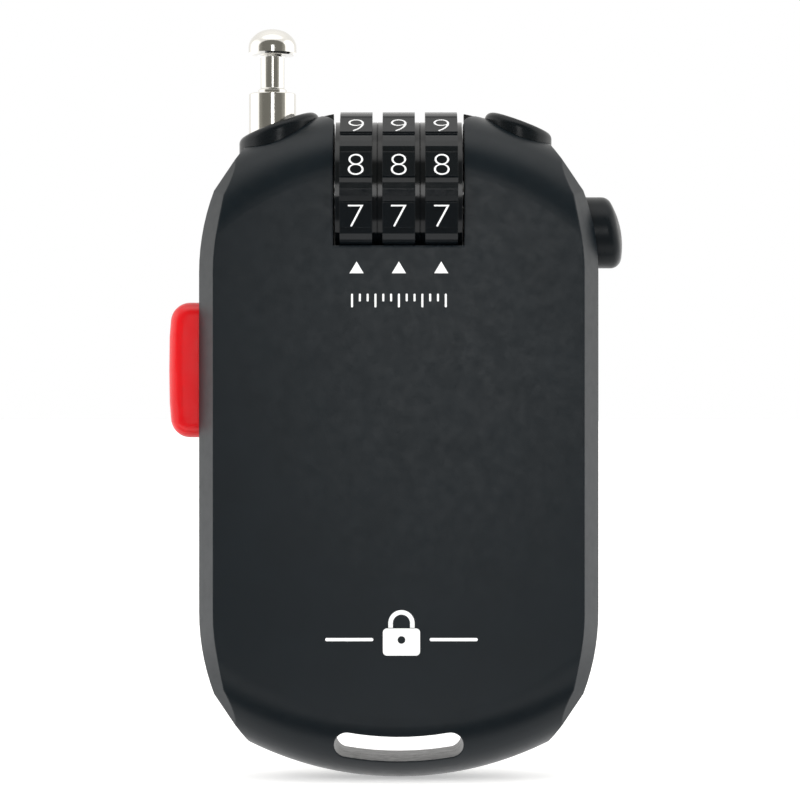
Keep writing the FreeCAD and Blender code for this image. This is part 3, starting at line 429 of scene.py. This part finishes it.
def text_mesh(char, height, width, thick, weight=0.0):
    """Filled outline of one generic sans numeral, centred, in millimetres."""
    c = bpy.data.curves.new("glyph", "FONT")
    c.body = char
    c.size = 1.0
    c.offset = weight
    c.resolution_u = 12
    c.extrude = 0.5
    o = bpy.data.objects.new("glyph", c)
    SCENE.collection.objects.link(o)
    bpy.context.view_layer.update()
    me = bpy.data.meshes.new_from_object(o)
    bpy.data.objects.remove(o)
    xs = [v.co.x for v in me.vertices]
    ys = [v.co.y for v in me.vertices]
    cx, cy = (min(xs) + max(xs)) / 2, (min(ys) + max(ys)) / 2
    ky = height / (max(ys) - min(ys))
    kx = width / (max(xs) - min(xs)) if width else ky
    for v in me.vertices:
        v.co = ((v.co.x - cx) * kx, (v.co.y - cy) * ky, v.co.z * thick)
    return me


WIDE = {"0": 1.80, "1": 0.95, "2": 1.72, "3": 1.72, "4": 1.86, "5": 1.74, "6": 1.80, "7": 1.78, "8": 1.80, "9": 1.80}
glyphs = {d: text_mesh(d, 2.46, WIDE[d] * 0.955, 0.03, -0.025) for d in "0123456789"}
for i, side in ((-1, "left"), (0, "centre"), (1, "right")):
    verts, faces = [], []
    for d in "0123456789":
        th = math.radians(90 + 36 * int(d))
        right, up, out = Vector((1, 0, 0)), Vector((0, math.sin(th), math.cos(th))), Vector((0, -math.cos(th), math.sin(th)))
        at = Vector((i * PITCH, 0, DIAL_Z)) + out * APOTHEM - up * 0.09
        base = len(verts)
        for v in glyphs[d].vertices:
            verts.append((at + right * v.co.x + up * v.co.y + out * v.co.z) * MM)
        faces += [tuple(base + k for k in p.vertices) for p in glyphs[d].polygons]
    num = mesh_object("numbers_" + side, verts, faces, PRINT, 30.0)
    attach(num, "dial_" + side)

# thin washers on the spindle that close the slits between the dials
for i, side in ((-0.5, "left"), (0.5, "right")):
    verts, faces = [], []
    for dx, r in ((-0.044, 1.62), (-0.044, 8.03), (-0.03, 8.06), (0.03, 8.06), (0.044, 8.03), (0.044, 1.62)):
        for k in range(96):
            a = 2 * math.pi * k / 96
            verts.append(((i * PITCH + dx) * MM, r * math.cos(a) * MM, (DIAL_Z + r * math.sin(a)) * MM))
    for q in range(6):
        b, c = q * 96, (q + 1) % 6 * 96
        faces += [(b + k, b + (k + 1) % 96, c + (k + 1) % 96, c + k) for k in range(96)]
    washer = mesh_object("dial_washer_" + side, verts, faces, MATS["dial_black"], 30.0)
    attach(washer, "case")

# ---------------------------------------------------------------- plain printed marks on the face
FACE_Y = -7.3


def plate(name, loops, mat=PRINT, y=FACE_Y, thick=0.014, body="case"):
    """Flat ink: closed 2D outlines (x, z in millimetres) filled, holes by even-odd, printed on the face."""
    c = bpy.data.curves.new(name, "CURVE")
    c.dimensions = "2D"
    c.fill_mode = "BOTH"
    c.extrude = 0.5
    for loop in loops:
        s = c.splines.new("POLY")
        s.points.add(len(loop) - 1)
        for p, (x, z) in zip(s.points, loop):
            p.co = (x, z, 0, 1)
        s.use_cyclic_u = True
    o = bpy.data.objects.new(name, c)
    SCENE.collection.objects.link(o)
    bpy.context.view_layer.update()
    me = bpy.data.meshes.new_from_object(o)
    bpy.data.objects.remove(o)
    for v in me.vertices:
        v.co = (v.co.x * MM, (y - v.co.z * 2 * thick) * MM, v.co.y * MM)
    me.materials.clear()
    me.materials.append(mat)
    o = bpy.data.objects.new(name, me)
    SCENE.collection.objects.link(o)
    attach(o, body)
    return o


def rrect(x0, x1, z0, z1, r, n=8):
    pts = []
    for cx, cz, a in ((x1 - r, z1 - r, 0), (x0 + r, z1 - r, 90), (x0 + r, z0 + r, 180), (x1 - r, z0 + r, 270)):
        pts += arc_pts(cx, cz, r, a, a + 90, n)
    return pts


# padlock pictogram between two plain lines
MX, MZ = 0.30, 16.6
plate("mark_lock_body", [rrect(MX - 2.05, MX + 2.05, MZ - 2.45, MZ + 0.55, 0.45), arc_pts(MX, MZ - 0.72, 0.42, 0, 360, 24)[:-1],
                         ])
sh_out = [(MX + 1.45, MZ + 0.62)] + arc_pts(MX, MZ + 1.12, 1.45, 0, 180, 28) + [(MX - 1.45, MZ + 0.62), (MX - 0.95, MZ + 0.62)] + \
    arc_pts(MX, MZ + 1.12, 0.95, 180, 0, 24) + [(MX + 0.95, MZ + 0.62)]
plate("mark_lock_shackle", [sh_out])
for sg, side in ((-1, "left"), (1, "right")):
    x0, x1 = sorted((MX + sg * 3.1, MX + sg * 8.4))
    plate("mark_line_" + side, [rrect(x0, x1, MZ - 0.86, MZ - 0.50, 0.17)])

# index arrows under the dials, and a row of plain ticks
for i, side in ((-1, "left"), (0, "centre"), (1, "right")):
    x = i * 4.66 + 0.02
    plate("index_" + side, [[(x - 0.78, 56.25), (x + 0.78, 56.25), (x, 57.55)]])
for k in range(13):
    x = 0.02 + (k - 6) * 0.86
    hgt = 1.5 if k % 3 == 0 else 0.85
    plate("tick_%02d" % (k + 1), [rrect(x - 0.11, x + 0.11, 54.0 - hgt, 54.0, 0.08, 4)])

# ---------------------------------------------------------------- floor and light
floor_mat, ft, fp = material("floor_pale")
fn = ft.noise(7.0, 3.0, 0.5)
ft.put(fp, "Base Color", ft.mix(ft.ramp(fn, 0.3, 0.7), (0.86, 0.86, 0.86, 1), (0.90, 0.90, 0.90, 1)))
ft.put(fp, "Roughness", ft.ramp(ft.noise(40.0), 0.3, 0.7, 0.85, 0.95, smooth=False))
ft.put(fp, "Specular IOR Level", 0.1)
ft.put(fp, "Emission Color", (1, 1, 1, 1))
ft.put(fp, "Emission Strength", 0.42)
# what gloss sees of the floor is a painted reflection, seen only by glossy rays: pale, dark before the object with a
# narrow light lane in it, and lighter at the flanks
fs = ft.node("ShaderNodeSeparateXYZ")
ft.put(fs, 0, ft.where())
fx, fy = ft.math("ABSOLUTE", fs.outputs[0]), fs.outputs[1]
near = ft.ramp(fy, -0.012, -0.008)
lane = ft.math("MULTIPLY", ft.ramp(fy, -0.074, -0.062), ft.ramp(fy, -0.018, -0.023))
wide = ft.ramp(ft.math("SUBTRACT", fx, ft.math("MULTIPLY", ft.math("ABSOLUTE", fy), 0.9)), 0.05, 0.09)
see = ft.math("MAXIMUM", ft.math("MAXIMUM", near, ft.math("MULTIPLY", lane, 1.0)), wide)
painted_reflection_floor = ft.node("ShaderNodeEmission")
flank = ft.math("MULTIPLY", ft.ramp(fx, 0.05, 0.10), ft.ramp(fy, -0.01, 0.02))
ft.put(painted_reflection_floor, "Strength", ft.math("ADD", ft.ramp(see, 0.0, 1.0, 0.12, 1.0, smooth=False), ft.math("MULTIPLY", flank, 0.55)))
fmix = ft.node("ShaderNodeMixShader")
# glossy rays get the painted reflection instead of the lit pale floor
ft.put(fmix, 0, ft.node("ShaderNodeLightPath").outputs["Is Glossy Ray"])
ft.t.links.new(fp.outputs[0], fmix.inputs[1])
ft.t.links.new(painted_reflection_floor.outputs[0], fmix.inputs[2])
for n in ft.t.nodes:
    if n.type == "OUTPUT_MATERIAL":
        ft.t.links.new(fmix.outputs[0], n.inputs[0])
S = 6.0
floor = mesh_object("floor", [(-S, -S, -0.00005), (S, -S, -0.00005), (S, S, -0.00005), (-S, S, -0.00005)], [(0, 1, 2, 3)], floor_mat)

world = bpy.data.worlds.new("studio")
SCENE.world = world
world.use_nodes = True
w = Tree(world.node_tree)
wo = w.node("ShaderNodeOutputWorld")
d = w.node("ShaderNodeTexCoord").outputs["Generated"]
sep = w.node("ShaderNodeSeparateXYZ")
w.put(sep, 0, d)
front = w.math("MULTIPLY", sep.outputs[1], -1.0)
high = w.math("MULTIPLY", sep.outputs[2], sep.outputs[2])
cone = w.math("SUBTRACT", front, w.math("MULTIPLY", high, 0.40))
dark = w.ramp(cone, 0.30, 0.46)                      # 1 in a flat cone in front of the object, 0 outside it
top = w.ramp(sep.outputs[2], 0.55, 0.95)
back_top = w.math("MULTIPLY", top, w.ramp(front, 0.25, -0.15))
front_top = w.math("MULTIPLY", w.ramp(sep.outputs[2], 0.75, 0.93), w.ramp(front, -0.12, 0.12))
sides = w.math("ADD", w.ramp(sep.outputs[0], 0.70, 0.84, 0.0, 0.75), w.ramp(sep.outputs[0], -0.84, -0.70, 0.50, 0.0))
level = w.math("ADD", w.math("ADD", 1.0, w.math("MULTIPLY", back_top, 0.15)), w.math("MULTIPLY", front_top, 0.85))
level = w.math("ADD", level, sides)
room = w.mix(dark, (1.0, 0.99, 0.97, 1), (0.19, 0.185, 0.165, 1))
lit = w.node("ShaderNodeVectorMath", operation="SCALE")
w.put(lit, 0, room)
w.put(lit, 3, level)
bg = w.node("ShaderNodeBackground")
w.put(bg, "Color", lit.outputs[0])
plain = w.node("ShaderNodeBackground")
w.put(plain, "Color", (1.0, 1.0, 1.0, 1))
ray = w.node("ShaderNodeLightPath")
sel = w.node("ShaderNodeMixShader")
w.put(sel, 0, ray.outputs["Is Camera Ray"])
w.t.links.new(bg.outputs[0], sel.inputs[1])
w.t.links.new(plain.outputs[0], sel.inputs[2])
w.t.links.new(sel.outputs[0], wo.inputs[0])


def area(name, at, aim, size, power, colour=(1, 1, 1), glossy=True, shadow=True):
    l = bpy.data.lights.new(name, "AREA")
    l.shape = "RECTANGLE"
    l.size, l.size_y = size
    l.energy = power
    l.color = colour
    o = bpy.data.objects.new(name, l)
    o.location = at
    o.rotation_euler = (Vector(aim) - Vector(at)).to_track_quat("-Z", "Y").to_euler()
    o.visible_camera = False
    o.visible_glossy = glossy
    SCENE.collection.objects.link(o)
    return o


C = (0, 0, 0.042)
area("key_left", (-0.45, -0.55, 0.45), C, (0.4, 0.4), 1.5, glossy=False)
area("key_right", (0.45, -0.55, 0.35), C, (0.4, 0.4), 1.25, glossy=False)
area("front_box", (0.022, -0.60, 0.078), C, (0.125, 0.235), 0.31)
